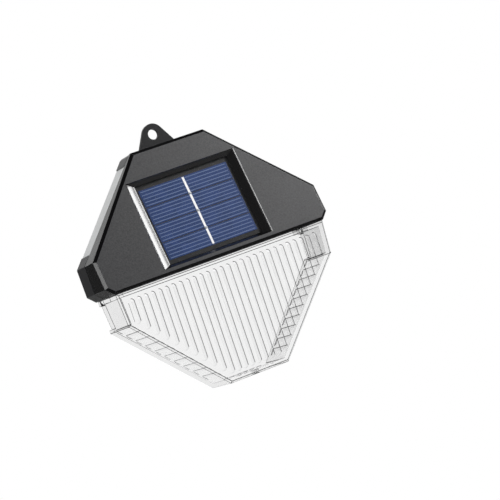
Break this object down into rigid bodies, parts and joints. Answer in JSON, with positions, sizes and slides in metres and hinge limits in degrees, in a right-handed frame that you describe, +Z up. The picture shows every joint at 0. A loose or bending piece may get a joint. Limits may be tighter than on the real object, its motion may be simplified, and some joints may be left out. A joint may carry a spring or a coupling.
{
  "type": "solar fence light",
  "caption": "Wall light with a black eight-sided housing, an inclined solar panel, a clear fluted lens below and a hanging tab above.",
  "frame": {"origin": "middle of the hanging hole, on the wall plane", "axes": "+Z up, +X to the right of someone facing the lamp, +Y into the wall"},
  "size_m": [0.1, 0.0276, 0.11],
  "materials": {
    "housing_abs": "fine matt moulded texture",
    "cover_abs": "satin moulded",
    "seal_rubber": "matt",
    "screw_steel": "zinc plated",
    "clear_lens": "clear, polished",
    "frosted_window": "translucent",
    "adhesive_foam": "matt",
    "panel_laminate": "clear laminate",
    "silicon_cell": "polycrystalline blue",
    "tinned_bus": "tinned",
    "panel_board": "dark laminate",
    "tray_abs": "moulded",
    "battery_sleeve": "shrink sleeve",
    "nickel_contact": "nickel plated",
    "circuit_board": "solder resist",
    "chip_epoxy": "moulded epoxy",
    "inductor_lacquer": "lacquered",
    "capacitor_sleeve": "shrink sleeve",
    "plunger_plastic": "moulded",
    "button_rubber": "matt silicone",
    "led_circuit_board": "white solder resist",
    "led_phosphor": "phosphor",
    "lead_red": "PVC insulation",
    "lead_black": "PVC insulation"
  },
  "bodies": {
    "housing": {"front_housing": "housing_abs", "rear_cover": "cover_abs", "housing_seal": "seal_rubber", "housing_screws": "screw_steel", "lens": "clear_lens", "light_window": "clear_lens", "side_window_left": "frosted_window", "side_window_right": "frosted_window", "panel_adhesive": "adhesive_foam", "panel_cover": "panel_laminate", "solar_cells": "silicon_cell", "bus_bars": "tinned_bus", "solar_board": "panel_board", "battery_tray": "tray_abs", "battery_cell": "battery_sleeve", "battery_contact": "nickel_contact", "battery_spring": "nickel_contact", "tray_screws": "screw_steel", "control_board": "circuit_board", "controller_chip": "chip_epoxy", "inductor": "inductor_lacquer", "capacitor": "capacitor_sleeve", "chip_resistors": "chip_epoxy", "board_screws": "screw_steel", "switch_body": "chip_epoxy", "led_board": "led_circuit_board", "leds": "led_phosphor", "side_leds": "led_phosphor", "led_board_screws": "screw_steel", "panel_lead_red": "lead_red", "panel_lead_black": "lead_black", "battery_lead_red": "lead_red", "battery_lead_black": "lead_black", "led_lead_red": "lead_red", "led_lead_black": "lead_black"},
    "button": {"button_cap": "button_rubber", "switch_plunger": "plunger_plastic"}
  },
  "joints": [
    {"name": "button_press", "type": "slide", "parent": "housing", "child": "button", "axis": [0, -1, 0], "range_m": [0, 0.0012], "stiffness_N_per_m": 800, "springref_m": -0.0003}
  ]
}
